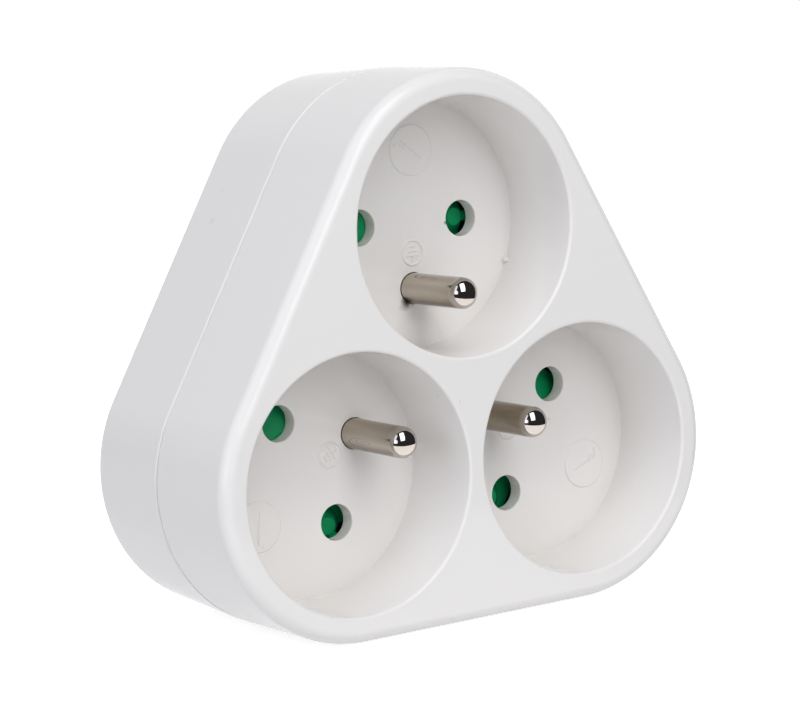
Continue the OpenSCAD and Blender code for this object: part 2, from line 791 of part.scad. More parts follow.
// Outline of the foot that reaches from the sleeve's end to its stem
module foot_shape(r) {
    translate([0, stem_off]) circle(r);
    translate([bite - r, min(stem_off, plug_earth_off) - bite])
        square([2 * (r - bite), abs(stem_off - plug_earth_off) + 2 * bite]);
}

// The plug's earth sleeve: it takes the wall socket's earth pin, and its stem carries the earth bar
module plug_earth_sleeve() {
    bore_end = sleeve_start + sleeve_bore_l;
    sleeve_end = bore_end + sleeve_end_t;
    flange = strap_z + strap_t;
    color(brass) on_wall() {
        translate([0, plug_earth_off, 0]) rotate_extrude()
            polygon([[sleeve_bore_d / 2, sleeve_start], [sleeve_d / 2, sleeve_start],
                [sleeve_d / 2, flange], [sleeve_flange_d / 2, flange],
                [sleeve_flange_d / 2, flange + sleeve_flange_t], [sleeve_d / 2, flange + sleeve_flange_t],
                [sleeve_d / 2, sleeve_end], [0, sleeve_end], [0, bore_end], [sleeve_bore_d / 2, bore_end]]);
        translate([0, 0, bore_end + bite]) linear_extrude(sleeve_end_t - bite) foot_shape(foot_r);
        translate([0, stem_off, 0]) rotate_extrude()
            polygon([[0, sleeve_end - bite], [stem_d / 2, sleeve_end - bite], [stem_d / 2, up(plate_back)],
                [stem_neck_d / 2, up(plate_back)], [stem_neck_d / 2, up(deck_back)],
                [stem_head_d / 2, up(deck_back)], [stem_neck_d / 2, up(deck_back - stem_head_t)],
                [0, up(deck_back - stem_head_t)]]);
    }
}

// The side earth clip: a strap across the plug that comes out at its top and bottom, where its two ends
// are bowed out a little, to press against a wall socket's earth springs
module plug_earth_clip() {
    side_y = strap_reach - strap_t / 2;
    cross_z = strap_z + strap_t / 2;
    bowed = [for (share = bow_shares)
        [side_y + strap_bow * sin(180 * share), cross_z + (strap_end_z - cross_z) * share]];
    arm = concat([[side_y, cross_z]], bowed, [[side_y, strap_end_z]]);
    other = [for (p = reversed(arm)) [-p[0], p[1]]];
    color(nickel) on_wall() difference() {
        union() {
            rotate([90, 0, 90]) translate([0, 0, -strap_w / 2]) linear_extrude(strap_w)
                bent_strip(concat(other, arm), strap_t);
            translate([0, plug_earth_off, strap_z]) cylinder(r = strap_eye_r, h = strap_t);
        }
        translate([0, plug_earth_off, 0]) cylinder(d = sleeve_d + rivet_hole_gap * 2, h = plug_d);
    }
}

// Cover screws: a pan head in its bore and a plain shank
module cover_screws() {
    color(steel) on_wall() at_screws() {
        disc(screw_d / 2, screw_tip, head_seat + bite);
        disc(screw_head_d / 2, head_seat, head_seat + screw_head_h);
    }
}

front_cover();
rear_cover();
contact_carrier();
earth_pin(TOP);  // earth_pin_top
earth_pin(LEFT);  // earth_pin_left
earth_pin(RIGHT);  // earth_pin_right
shutter(TOP);  // shutter_top
shutter(LEFT);  // shutter_left
shutter(RIGHT);  // shutter_right
shutter_spring(TOP);  // shutter_spring_top
shutter_spring(LEFT);  // shutter_spring_left
shutter_spring(RIGHT);  // shutter_spring_right
live_busbar();
neutral_busbar();
earth_busbar();
contact_clip(TOP, LIVE);  // live_clip_top
contact_clip(LEFT, LIVE);  // live_clip_left
contact_clip(RIGHT, LIVE);  // live_clip_right
contact_clip(TOP, NEUTRAL);  // neutral_clip_top
contact_clip(LEFT, NEUTRAL);  // neutral_clip_left
contact_clip(RIGHT, NEUTRAL);  // neutral_clip_right
contact_rivets();
plug_pin(LIVE);  // plug_pin_live
plug_pin(NEUTRAL);  // plug_pin_neutral
plug_earth_sleeve();
plug_earth_clip();
cover_screws();
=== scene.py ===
# %% [markdown]
# # A three-way socket adapter in white plastic
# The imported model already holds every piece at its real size: two covers, three sockets, their earth
# pins, sliding shutters, contacts and a plug on the back. It could be rendered as it is, but its
# round edges are cut into coarse facets and its surfaces have no finish. So this lesson loads it as a
# frame, models again what the eye can reach, and gives every piece a finish of its own.

# %% Load the frame
import json
import math

import bmesh
import bpy
from mathutils import Matrix, Vector

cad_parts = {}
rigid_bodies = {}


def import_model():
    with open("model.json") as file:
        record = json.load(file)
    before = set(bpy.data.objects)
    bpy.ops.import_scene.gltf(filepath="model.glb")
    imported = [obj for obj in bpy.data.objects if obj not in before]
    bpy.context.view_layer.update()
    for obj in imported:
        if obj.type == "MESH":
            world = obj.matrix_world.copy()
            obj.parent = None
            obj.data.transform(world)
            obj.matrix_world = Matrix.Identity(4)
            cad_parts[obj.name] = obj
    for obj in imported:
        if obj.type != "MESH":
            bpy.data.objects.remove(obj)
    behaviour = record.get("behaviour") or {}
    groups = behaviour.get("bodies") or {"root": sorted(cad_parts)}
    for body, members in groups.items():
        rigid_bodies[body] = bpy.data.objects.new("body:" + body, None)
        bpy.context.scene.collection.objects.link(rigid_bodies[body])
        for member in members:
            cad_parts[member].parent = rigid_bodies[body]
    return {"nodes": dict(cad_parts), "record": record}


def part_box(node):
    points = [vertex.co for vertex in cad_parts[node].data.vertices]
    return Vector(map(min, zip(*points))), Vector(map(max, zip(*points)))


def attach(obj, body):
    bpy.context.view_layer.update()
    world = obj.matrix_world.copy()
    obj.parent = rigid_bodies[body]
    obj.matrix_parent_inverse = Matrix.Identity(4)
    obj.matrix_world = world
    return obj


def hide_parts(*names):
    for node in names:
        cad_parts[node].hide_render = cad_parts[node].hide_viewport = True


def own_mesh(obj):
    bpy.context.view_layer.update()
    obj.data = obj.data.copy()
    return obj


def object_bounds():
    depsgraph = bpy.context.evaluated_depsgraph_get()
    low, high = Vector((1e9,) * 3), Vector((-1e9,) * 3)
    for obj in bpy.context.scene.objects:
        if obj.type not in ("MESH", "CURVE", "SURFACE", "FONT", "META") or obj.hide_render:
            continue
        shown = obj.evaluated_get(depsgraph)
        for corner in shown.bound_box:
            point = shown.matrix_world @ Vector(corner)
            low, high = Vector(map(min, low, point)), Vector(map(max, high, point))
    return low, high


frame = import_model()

nodes = frame["nodes"]
cad_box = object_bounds()
print("box:", [round(side, 4) for side in cad_box[1] - cad_box[0]])

# %% [markdown]
# ## Sizes
# A made thing is easier to read when its sizes have names. They repeat the driving sizes of the model,
# in metres. Depths run from the face of the block towards the wall, which is +Y. The three sockets
# stand a third of a turn apart, so a place is given once and turned to each of them. Every cutting tool
# runs `over` past what it cuts, so that no two faces lie in one plane.

# %% Name the sizes
MM = 0.001
face_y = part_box("front_cover")[0].y
socket_r = 24.2 * MM
corner_r = 23.9 * MM
front_d = 19 * MM
body_d = 38.4 * MM
overall_d = 54.4 * MM
recess_r = 19.6 * MM
recess_d = 14.9 * MM
floor_back = 17.4 * MM
pin_gap = 19 * MM
pin_r = 2.4 * MM
earth_off = 10.1 * MM
screw_r = 28 * MM
over = 1 * MM

SIDES = ("top", "left", "right")
SLIDE = {"top": 1, "left": -1, "right": 1}
TURN = {"top": 0.0, "left": math.radians(120), "right": math.radians(240)}


def depth(d):
    """The height Y of a depth below the face."""
    return face_y + d


def at_socket(side, across=0.0, outwards=0.0, d=0.0):
    """A place given from a socket's centre: along its pin holes, away from the block's middle, and deep."""
    angle = TURN[side]
    x, z = across, socket_r + outwards
    return Vector((x * math.cos(angle) - z * math.sin(angle), depth(d),
                   x * math.sin(angle) + z * math.cos(angle)))


def at_screw(side):
    """The place of the cover screw in the flat that follows a socket."""
    angle = TURN[side] + math.radians(30)
    return Vector((screw_r * math.cos(angle), 0, screw_r * math.sin(angle)))


print("socket centres:", [tuple(round(v, 4) for v in at_socket(side)) for side in SIDES])

# %% [markdown]
# ## Camera, floor and light
# The photograph is a product shot: the adapter stands on white, seen from its left and a little from
# above, through a long lens. The camera could be turned by eye until the picture agrees. Here its
# place was worked out instead from the pin holes and the rims of the sockets, so it is written as
# angles around a point in the middle of the block, with the slight roll that the picture has.

# %% Camera
look_at = Vector((0.35, -34.4, 3.23)) * MM
azimuth, elevation, roll = math.radians(-34.28), math.radians(7.37), math.radians(-2.65)
camera_far = 401.95 * MM
focal_length = 115.4
film_width = 36
backwards = Vector((math.sin(azimuth) * math.cos(elevation),
                    -math.cos(azimuth) * math.cos(elevation), math.sin(elevation)))
level = Vector((math.cos(azimuth), math.sin(azimuth), 0))
upright = backwards.cross(level)
rightwards = level * math.cos(roll) + upright * math.sin(roll)
upwards = upright * math.cos(roll) - level * math.sin(roll)

lens = bpy.data.cameras.new("camera")
lens.lens = focal_length
lens.sensor_width = film_width
lens.sensor_fit = "HORIZONTAL"
camera = bpy.data.objects.new("camera", lens)
bpy.context.scene.collection.objects.link(camera)
turned = Matrix((rightwards, upwards, backwards)).transposed().to_4x4()
camera.matrix_world = Matrix.Translation(look_at + backwards * camera_far) @ turned
bpy.context.scene.camera = camera
bpy.context.scene.view_settings.view_transform = "Standard"
print("camera at", [round(v, 3) for v in camera.matrix_world.translation])

# %% [markdown]
# A white ground could be made with more light, but that would wash out a white object. So the floor and
# the world only look white: to the camera and to reflections they glow by themselves, and the light
# that falls on the object stays plain. The floor adds its glow to a real diffuse surface, which keeps
# the soft shadow under the block.


# %% Helpers for nodes
def node(tree, kind, place=(0, 0), **settings):
    """Adds a node and sets its properties, and through `inputs` its inputs' values by name or number."""
    made = tree.nodes.new(kind)
    made.location = place
    values = settings.pop("inputs", {})
    for key, value in settings.items():
        setattr(made, key, value)
    for key, value in values.items():
        made.inputs[key].default_value = value
    return made


def seen_directly(tree):
    """One where the ray comes from the camera, a mirror or glass, and nought for plain light."""
    path = node(tree, "ShaderNodeLightPath", (-900, 300))
    mirror = node(tree, "ShaderNodeMath", (-700, 300), operation="MAXIMUM")
    clear = node(tree, "ShaderNodeMath", (-500, 300), operation="MAXIMUM")
    tree.links.new(path.outputs["Is Camera Ray"], mirror.inputs[0])
    tree.links.new(path.outputs["Is Glossy Ray"], mirror.inputs[1])
    tree.links.new(mirror.outputs[0], clear.inputs[0])
    tree.links.new(path.outputs["Is Transmission Ray"], clear.inputs[1])
    return clear.outputs[0]


# %% World and floor
WHITE = (1, 1, 1, 1)
room_colour, room_strength = (0.96, 0.97, 1, 1), 0.285
paper_colour, paper_glow = (0.8, 0.8, 0.8, 1), 0.8
floor_side = 6


def deselect():
    bpy.ops.object.select_all(action="DESELECT")


world = bpy.data.worlds.new("studio")
world.use_nodes = True
bpy.context.scene.world = world
tree = world.node_tree
tree.nodes.clear()
room_light = node(tree, "ShaderNodeBackground", (-200, 0),
                  inputs={"Color": room_colour, "Strength": room_strength})
white_room = node(tree, "ShaderNodeBackground", (-200, -200), inputs={"Color": WHITE, "Strength": 1.0})
either = node(tree, "ShaderNodeMixShader", (100, 0))
result = node(tree, "ShaderNodeOutputWorld", (300, 0))
tree.links.new(seen_directly(tree), either.inputs[0])
tree.links.new(room_light.outputs[0], either.inputs[1])
tree.links.new(white_room.outputs[0], either.inputs[2])
tree.links.new(either.outputs[0], result.inputs[0])

floor_z = cad_box[0].z
deselect()
bpy.ops.mesh.primitive_plane_add(size=floor_side, location=(0, 0, floor_z))
floor = bpy.context.object
floor.name = "floor"
ground = bpy.data.materials.new("white_ground")
ground.use_nodes = True
tree = ground.node_tree
tree.nodes.clear()
paper = node(tree, "ShaderNodeBsdfDiffuse", (-200, 100), inputs={"Color": paper_colour})
glow = node(tree, "ShaderNodeEmission", (-200, -100), inputs={"Color": WHITE})
strength = node(tree, "ShaderNodeMath", (-350, -200), operation="MULTIPLY", inputs={1: paper_glow})
both = node(tree, "ShaderNodeAddShader", (0, 0))
result = node(tree, "ShaderNodeOutputMaterial", (200, 0))
tree.links.new(seen_directly(tree), strength.inputs[0])
tree.links.new(strength.outputs[0], glow.inputs["Strength"])
tree.links.new(paper.outputs[0], both.inputs[0])
tree.links.new(glow.outputs[0], both.inputs[1])
tree.links.new(both.outputs[0], result.inputs[0])
floor.data.materials.append(ground)
print("floor at", round(floor_z, 4), "with", len(tree.nodes), "nodes in its paper")

# %% [markdown]
# The polished tips of the earth pins show what stood round the camera: a dark room, the soft lamps and
# the front edge of a white table. A room could be built, but only mirrors would ever see it. So two dark
# cards stand in for it, a quarter of a ball behind the lamps and half a ring just above the floor, and
# they are hidden from everything but reflections.


# %% Dark cards
def dark_card(name):
    """Makes the active object a dark card that only reflections see."""
    card = bpy.context.object
    card.name = name
    card.data.materials.append(black_cloth)
    for ray in ("camera", "diffuse", "transmission", "shadow", "volume_scatter"):
        setattr(card, "visible_" + ray, False)
    return card


cloth_colour = (0.035, 0.035, 0.04, 1)
black_cloth = bpy.data.materials.new("black_cloth")
black_cloth.use_nodes = True
tree = black_cloth.node_tree
tree.nodes.clear()
cloth = node(tree, "ShaderNodeEmission", (0, 0), inputs={"Color": cloth_colour, "Strength": 1})
result = node(tree, "ShaderNodeOutputMaterial", (200, 0))
tree.links.new(cloth.outputs[0], result.inputs[0])

room_r = 2.2
table_r = 0.13
cards_end_y = -0.05
room_z = floor_z + 0.001
bench_z = floor_z + 0.002
deselect()
bpy.ops.mesh.primitive_uv_sphere_add(segments=48, ring_count=24, radius=room_r, location=(0, 0, floor_z))
dark_card("dark_room")
bpy.ops.object.mode_set(mode="EDIT")
for place, side in (((0, cards_end_y, floor_z), (0, 1, 0)), ((0, 0, room_z), (0, 0, -1))):
    bpy.ops.mesh.select_all(action="SELECT")
    bpy.ops.mesh.bisect(plane_co=place, plane_no=side, clear_outer=True)
bpy.ops.object.mode_set(mode="OBJECT")
print("dark room:", len(bpy.context.object.data.polygons), "faces")
deselect()
bpy.ops.mesh.primitive_circle_add(vertices=64, radius=room_r, fill_type="NGON", location=(0, 0, bench_z))
dark_card("dark_bench")
bpy.ops.object.mode_set(mode="EDIT")
bpy.ops.mesh.inset(thickness=room_r - table_r)
bpy.ops.mesh.delete(type="FACE")
bpy.ops.mesh.select_all(action="SELECT")
bpy.ops.mesh.bisect(plane_co=(0, cards_end_y, floor_z), plane_no=(0, 1, 0), clear_outer=True)
bpy.ops.object.mode_set(mode="OBJECT")
print("dark bench:", len(bpy.context.object.data.polygons), "faces")

# %% [markdown]
# The light on the object is soft. Most of it comes from the front and above, and a cooler, weaker light
# falls on the left side. One big lamp could do it, but then both sides of the block would be equally
# bright. So four soft boxes share the work at one distance, each with its own size, power and colour.
# The last one only lifts what faces up. Its reflection would be one too many in the pins' tips, so it is
# hidden from mirrors.


# %% Lights
lamp_far = 1.3


def soft_box(name, towards, wide, tall, power, colour, mirrored=True):
    """An upright soft lamp that faces the block from a direction, sized in metres and powered in watts."""
    lamp = bpy.data.lights.new(name, "AREA")
    lamp.shape = "RECTANGLE"
    lamp.size = wide
    lamp.size_y = tall
    lamp.energy = power
    lamp.color = colour
    holder = bpy.data.objects.new(name, lamp)
    bpy.context.scene.collection.objects.link(holder)
    towards = Vector(towards).normalized()
    holder.location = look_at + towards * lamp_far
    holder.rotation_euler = (-towards).to_track_quat("-Z", "Y").to_euler()
    holder.visible_glossy = mirrored
    return holder


soft_box("front_lamp", (-0.13, -0.74, 0.66), 0.7, 1.4, 9.6, (0.965, 0.975, 1.0))
soft_box("left_lamp", (-0.86, -0.28, 0.42), 0.45, 1.5, 3.3, (0.83, 0.86, 1.0))
soft_box("low_lamp", (-0.85, -0.45, 0.1), 0.6, 0.6, 2.3, (0.84, 0.865, 1.0))
soft_box("ceiling", (0.1, -0.35, 1.0), 0.8, 0.8, 1.6, (0.95, 0.97, 1.0), mirrored=False)

# %% [markdown]
# ## Bench tools
# Nearly every piece here is either turned, like a pin, or cut with a tool of its own shape, like a
# recess. Two helpers cover most of it. The first turns a profile as a potter would: it starts from a
# circle and extrudes that ring again and again, moving it along the axis and scaling it to its next
# radius. The second cuts one piece with another by a Boolean modifier, which is applied at once. A round
# shape has as many sides as its width needs, so the six counts are named from the broadest to the least.


# %% Helpers that choose and turn
BROAD, WIDE, PIN, HOLE, THIN, NUB = 128, 96, 64, 48, 32, 24
same_size = 1e-9


def take(piece):
    """Selects one piece alone and makes it the active one."""
    deselect()
    piece.select_set(True)
    bpy.context.view_layer.objects.active = piece


def choose(piece, kind, wanted):
    """In edit mode, selects the vertices, edges or faces that pass the test."""
    bpy.ops.mesh.select_mode(type=kind)
    bpy.ops.mesh.select_all(action="DESELECT")
    mesh = bmesh.from_edit_mesh(piece.data)
    parts = {"VERT": mesh.verts, "EDGE": mesh.edges, "FACE": mesh.faces}[kind]
    found = [part for part in parts if wanted(part)]
    for part in found:
        part.select_set(True)
    mesh.select_flush_mode()
    bmesh.update_edit_mesh(piece.data)
    return len(found)


def settle(piece, name):
    """Applies the piece's place, so that its object stands at the origin, and names it."""
    take(piece)
    bpy.ops.object.transform_apply(location=True, rotation=True, scale=True)
    piece.name = name
    piece.data.name = name
    return piece


def turn(name, profile, sides, centre=Vector()):
    """Turns (radius, depth) points about an axis along Y through the centre, with a flat cap at each end."""
    radius, d = profile[0]
    deselect()
    bpy.ops.mesh.primitive_circle_add(
        vertices=sides, radius=radius, fill_type="NGON",
        location=(centre.x, depth(d), centre.z), rotation=(math.pi / 2, math.pi / sides, 0))
    piece = bpy.context.object
    bpy.ops.object.mode_set(mode="EDIT")
    bpy.ops.mesh.select_mode(type="EDGE")
    for next_radius, next_d in profile[1:]:
        bpy.ops.mesh.extrude_edges_move(TRANSFORM_OT_translate={"value": (0, next_d - d, 0)})
        if abs(next_radius - radius) > same_size:
            scale = next_radius / radius
            bpy.ops.transform.resize(value=(scale, 1, scale),
                                     center_override=(centre.x, depth(next_d), centre.z))
        radius, d = next_radius, next_d
    bpy.ops.mesh.edge_face_add()
    bpy.ops.mesh.select_all(action="SELECT")
    bpy.ops.mesh.normals_make_consistent(inside=False)
    bpy.ops.object.mode_set(mode="OBJECT")
    return settle(piece, name)


def arc(radius, d, bend, start, end, steps):
    """Points of a profile round a centre at (radius, d), angles in degrees from outwards to deeper."""
    angles = [math.radians(start + (end - start) * i / steps) for i in range(steps + 1)]
    return [(radius + bend * math.cos(a), d + bend * math.sin(a)) for a in angles]


# %% Helpers that cut and finish
mould_crease, metal_crease, wire_crease = 32, 28, 60


def use(piece, kind, **settings):
    """Adds a modifier with these settings and applies it."""
    modifier = piece.modifiers.new(kind.lower(), kind)
    for key, value in settings.items():
        setattr(modifier, key, value)
    take(piece)
    bpy.ops.object.modifier_apply(modifier=modifier.name)


def cut(piece, *tools, operation="DIFFERENCE"):
    """Cuts the piece with each tool, or joins each to it, and puts the tools away."""
    for tool in tools:
        use(piece, "BOOLEAN", object=tool, operation=operation, solver="EXACT")
        bpy.data.objects.remove(tool)


def box(name, low, high):
    """A block between two corners."""
    low, high = Vector(low), Vector(high)
    deselect()
    bpy.ops.mesh.primitive_cube_add(size=1, location=(low + high) / 2, scale=high - low)
    return settle(bpy.context.object, name)


def smooth(piece, angle):
    """Smooth shading with corners sharper than the angle kept, weighted so that flat faces stay flat."""
    take(piece)
    bpy.ops.object.shade_smooth_by_angle(angle=math.radians(angle))
    use(piece, "WEIGHTED_NORMAL", keep_sharp=True, weight=80)


def finish_piece(piece, body, slot, *replaced):
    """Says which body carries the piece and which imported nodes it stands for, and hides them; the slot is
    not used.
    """
    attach(piece, body)
    if replaced:
        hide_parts(*replaced)
    print(piece.name, len(piece.data.polygons), "faces")


# %% [markdown]
# ## The front cover
# The real cover is one moulding: a rounded triangle with a soft edge round its face, a fine groove at
# the parting line and three deep cups. A triangle could be drawn and bevelled, but its corners are round
# about the centres of the sockets. So it starts as one round puck, turned with the edge's section, and
# each third of it is then pulled out to its own socket. The faces between the thirds stretch into the
# flat sides.


# %% Pull a puck apart
puck_sides = 144
third = math.cos(math.radians(60))


def pull_apart(piece):
    """Moves each third of a turned puck out to its socket, which gives the block's outline."""
    take(piece)
    bpy.ops.object.mode_set(mode="EDIT")
    counts = []
    for side in SIDES:
        home = at_socket(side)
        outwards = Vector((home.x, 0, home.z)).normalized()
        counts.append(choose(piece, "VERT",
                             lambda v: Vector((v.co.x, 0, v.co.z)).normalized().dot(outwards) > third))
        bpy.ops.transform.translate(value=(home.x, 0, home.z))
    bpy.ops.object.mode_set(mode="OBJECT")
    print(piece.name, "vertices pulled:", counts)
    return piece


front_edge_r = 23.7 * MM
front_round = 2 * MM
front_rim = 0.2 * MM
rear_rim = 0.3 * MM
seam_gap = 0.3 * MM
inner_r = 21.9 * MM
tongue_r = 22.8 * MM
tongue_end = 20.5 * MM
face_t = 2 * MM

front_profile = arc(front_edge_r - front_round, front_round, front_round, -90, 0, 10)
front_end = front_d - seam_gap / 2
front_profile += [(corner_r, front_end - front_rim), (corner_r - front_rim, front_end), (tongue_r, front_end),
                  (tongue_r, tongue_end), (inner_r, tongue_end), (inner_r, face_t)]
front = pull_apart(turn("front_shell", front_profile, puck_sides))

# %% [markdown]
# The cups and the screw bosses are added to the shell, and then the recesses are cut out of them. A
# recess's tool carries the shape of its own edges: it widens at the mouth, which rounds the lip, and it
# narrows at its end, which leaves the small fillet round the floor. The same trick rounds the rims of
# the pin holes.

# %% Cups, bosses and recesses
cup_r = 22.2 * MM
boss_r = 3.5 * MM
boss_end = 21.3 * MM
floor_r = 19.3 * MM
floor_round = 0.12 * MM
lip_round = 0.5 * MM
hole_r = 2.8 * MM
hole_lip = 0.18 * MM
earth_hole_r = 2.46 * MM
screw_hole_r = 1.5 * MM
screw_tip = 12.4 * MM

for side in SIDES:
    cut(front, turn("cup", [(cup_r, over), (cup_r, floor_back)], WIDE, at_socket(side)), operation="UNION")
for side in SIDES:
    cut(front, turn("boss", [(boss_r, over), (boss_r, boss_end)], HOLE, at_screw(side)), operation="UNION")

recess_profile = arc(floor_r - floor_round, recess_d - floor_round, floor_round, 90, 0, 5)
recess_profile += arc(recess_r + lip_round, lip_round, lip_round, 180, 270, 6)
recess_profile += [(recess_r + lip_round, -over)]


def hole_tool(place, radius, lip):
    """A drill that also rounds the rim at the recess floor."""
    profile = [(radius, floor_back + over)] + arc(radius + lip, recess_d + lip, lip, 180, 270, 3)
    return turn("drill", profile + [(radius + lip, recess_d - over)], HOLE, place)


for side in SIDES:
    cut(front, turn("recess", recess_profile, BROAD, at_socket(side)))
    for across in (-pin_gap / 2, pin_gap / 2):
        cut(front, hole_tool(at_socket(side, across), hole_r, hole_lip))
    cut(front, hole_tool(at_socket(side, 0, -earth_off), earth_hole_r, hole_lip / 2))
    screw_hole = [(screw_hole_r, screw_tip - over), (screw_hole_r, boss_end + over)]
    cut(front, turn("drill", screw_hole, THIN, at_screw(side)))
print("front cover:", len(front.data.polygons), "faces")

# %% [markdown]
# ## Signs on the socket floors
# Each socket floor has two low reliefs: the earth sign in its ring beside the earth pin, and a round
# disc near the far wall. They are two tenths of a millimetre high and could be painted on as bump, but a
# real slope catches the light along its edge, so they are modelled and joined to the moulding. The disc
# carries the wave of alternating current and a plain stroke, a little higher still. In each socket it
# stands slightly off its place. The top socket also keeps the nub that the mould's gate left in the
# corner of its floor.

# %% Sizes of the reliefs
relief_h = 0.2 * MM
lines_h = relief_h + 0.1 * MM
sink = 0.1 * MM
slope = 0.18 * MM
line_w = 0.42 * MM
sign_off = 4.6 * MM
sign_r = 2.1 * MM
stem_l, stem_off = 1.0 * MM, -1.0 * MM
RUNGS = ((2.5 * MM, -0.45 * MM), (1.8 * MM, 0.25 * MM), (1.1 * MM, 0.95 * MM))
disc_off = 11.2 * MM
disc_r = 4.0 * MM
stroke_l, stroke_tilt = 5.2 * MM, math.radians(-38)
wave_l, wave_h, wave_steps = 2.0 * MM, 0.42 * MM, 14
wave_across, wave_outwards = -3.0 * MM, 0.9 * MM
SLIPS = {"top": (0.5 * MM, 0), "left": (-1.3 * MM, 0.25 * MM), "right": (-0.7 * MM, 1.2 * MM)}
print("reliefs stand", round(relief_h / MM, 2), "mm high, the lines on the discs", round(lines_h / MM, 2))


# %% Relief of one socket
def bar(side, across, outwards, length, tilt=0.0, rise=relief_h):
    """A raised bar with sloping sides on a socket's floor, along the pin holes unless it is tilted."""
    deselect()
    bpy.ops.mesh.primitive_cube_add(size=1, scale=(length, rise + sink, line_w))
    piece = settle(bpy.context.object, "bar")
    bpy.ops.object.mode_set(mode="EDIT")
    choose(piece, "FACE", lambda face: face.normal.y < -0.9)
    bpy.ops.transform.resize(value=(1 - 2 * slope / length, 1, 1 - 2 * slope / line_w))
    bpy.ops.object.mode_set(mode="OBJECT")
    piece.rotation_euler = (0, -TURN[side] - tilt, 0)
    piece.location = at_socket(side, across, outwards, recess_d + (sink - rise) / 2)
    return settle(piece, "bar")


def low_disc(name, side, radius, across, outwards):
    """A low disc with a sloping edge on a socket's floor."""
    profile = [(radius, recess_d + sink), (radius, recess_d), (radius - slope, recess_d - relief_h)]
    return turn(name, profile, PIN, at_socket(side, across, outwards))


def ring(side):
    """The raised ring round the earth sign."""
    outer = low_disc("ring", side, sign_r, 0, -sign_off)
    inside, top = sign_r - line_w, recess_d - relief_h
    core = [(inside, recess_d + over), (inside, recess_d), (inside + slope, top),
            (inside + slope, top - over)]
    cut(outer, turn("core", core, PIN, at_socket(side, 0, -sign_off)))
    return outer


def wave(side, across, outwards):
    """The sign of alternating current, bent from a chain of short bars."""
    deselect()
    bpy.ops.mesh.primitive_cube_add(size=1, scale=(line_w, lines_h + sink, line_w))
    piece = settle(bpy.context.object, "wave")
    bpy.ops.object.mode_set(mode="EDIT")
    choose(piece, "FACE", lambda face: face.normal.x > 0.9)
    heights = [wave_h * math.sin(2 * math.pi * i / wave_steps) for i in range(wave_steps + 1)]
    for before, after in zip(heights, heights[1:]):
        step = (wave_l / wave_steps, 0, after - before)
        bpy.ops.mesh.extrude_region_move(TRANSFORM_OT_translate={"value": step})
    bpy.ops.object.mode_set(mode="OBJECT")
    piece.rotation_euler = (0, -TURN[side], 0)
    piece.location = at_socket(side, across, outwards, recess_d + (sink - lines_h) / 2)
    return settle(piece, "wave")


def relief(side, across, outwards):
    """Both signs of one socket, the disc slipped from its place by this much."""
    place = disc_off + outwards
    parts = [low_disc("disc", side, disc_r, across, place), ring(side)]
    parts.append(bar(side, 0, -sign_off + stem_off, stem_l, math.pi / 2))
    for length, off in RUNGS:
        parts.append(bar(side, 0, -sign_off + off, length))
    parts.append(bar(side, across, place, stroke_l, stroke_tilt, lines_h))
    parts.append(wave(side, across + wave_across, place + wave_outwards))
    return parts


# %% Reliefs and gate nub
for side in SIDES:
    for part in relief(side, *SLIPS[side]):
        cut(front, part, operation="UNION")
gate_r = 0.5 * MM
gate_h_share, gate_top_share = 1.5, 0.7
gate_angle = math.radians(-22)
gate_off = floor_r - gate_r / 2
gate_profile = [(gate_r, recess_d + sink), (gate_r, recess_d - gate_r),
                (gate_r * gate_top_share, recess_d - gate_r * gate_h_share)]
gate_place = at_socket("top", gate_off * math.cos(gate_angle), gate_off * math.sin(gate_angle))
cut(front, turn("gate", gate_profile, NUB, gate_place), operation="UNION")
smooth(front, mould_crease)
front.name = "front_moulding"
finish_piece(front, "root", "white_plastic", "front_cover")

# %% [markdown]
# ## The rear cover
# The back half is the same outline with a smaller edge rounding, and the plug's round body stands on it.
# Its shell is turned and pulled apart in the same way; then the plug body is added, hollowed, and cut
# with its two guide notches, the grooves of the side earth clip, the bores of its pins and the three
# deep bores of the cover screws.

# %% Rear shell and plug body
back_edge_r = 23.2 * MM
back_round = 0.8 * MM
back_inner = 36.6 * MM
rebate_r = 22.95 * MM
rebate_end = 20.65 * MM
rear_inner_r = 21.2 * MM
plug_r = 18.25 * MM
plug_round = 1.2 * MM
plug_in_r = 16.25 * MM
plug_face_t = 3 * MM
plug_inside = overall_d - plug_face_t
notch_w, notch_d = 5.2 * MM, 2.6 * MM
notch_wall = 2 * MM
groove_w, groove_floor = 5.6 * MM, 16.85 * MM
plug_earth_off = 10 * MM
screw_seat = 30.4 * MM
rear_boss_r = 4.6 * MM
rear_boss_start = 23.3 * MM

rear_profile = arc(back_edge_r - back_round, body_d - back_round, back_round, 90, 0, 5)
rear_start = front_d + seam_gap / 2
rear_profile += arc(corner_r - rear_rim, rear_start + rear_rim, rear_rim, 0, -90, 5)
rear_profile += [(rebate_r, rear_start), (rebate_r, rebate_end), (inner_r, rebate_end),
                 (rear_inner_r, back_inner)]
rear = pull_apart(turn("rear_shell", rear_profile, puck_sides))

plug_profile = [(plug_r, body_d - over)]
plug_profile += arc(plug_r - plug_round, overall_d - plug_round, plug_round, 0, 90, 6)
cut(rear, turn("plug_body", plug_profile, BROAD), operation="UNION")
rear_boss = [(rear_boss_r, rear_boss_start), (rear_boss_r, body_d - over)]
for side in SIDES:
    cut(rear, turn("boss", rear_boss, HOLE, at_screw(side)), operation="UNION")
cavity = turn("cavity", [(plug_in_r, back_inner - over), (plug_in_r, plug_inside)], WIDE)
reach = Vector((notch_d + notch_wall, 0, notch_w / 2 + notch_wall))
for x in (-plug_r, plug_r):
    cut(cavity, box("wall", (x - reach.x, depth(back_inner - 2 * over), -reach.z),
                    (x + reach.x, depth(overall_d), reach.z)))
cut(rear, cavity)
print("rear cover:", len(rear.data.polygons), "faces")

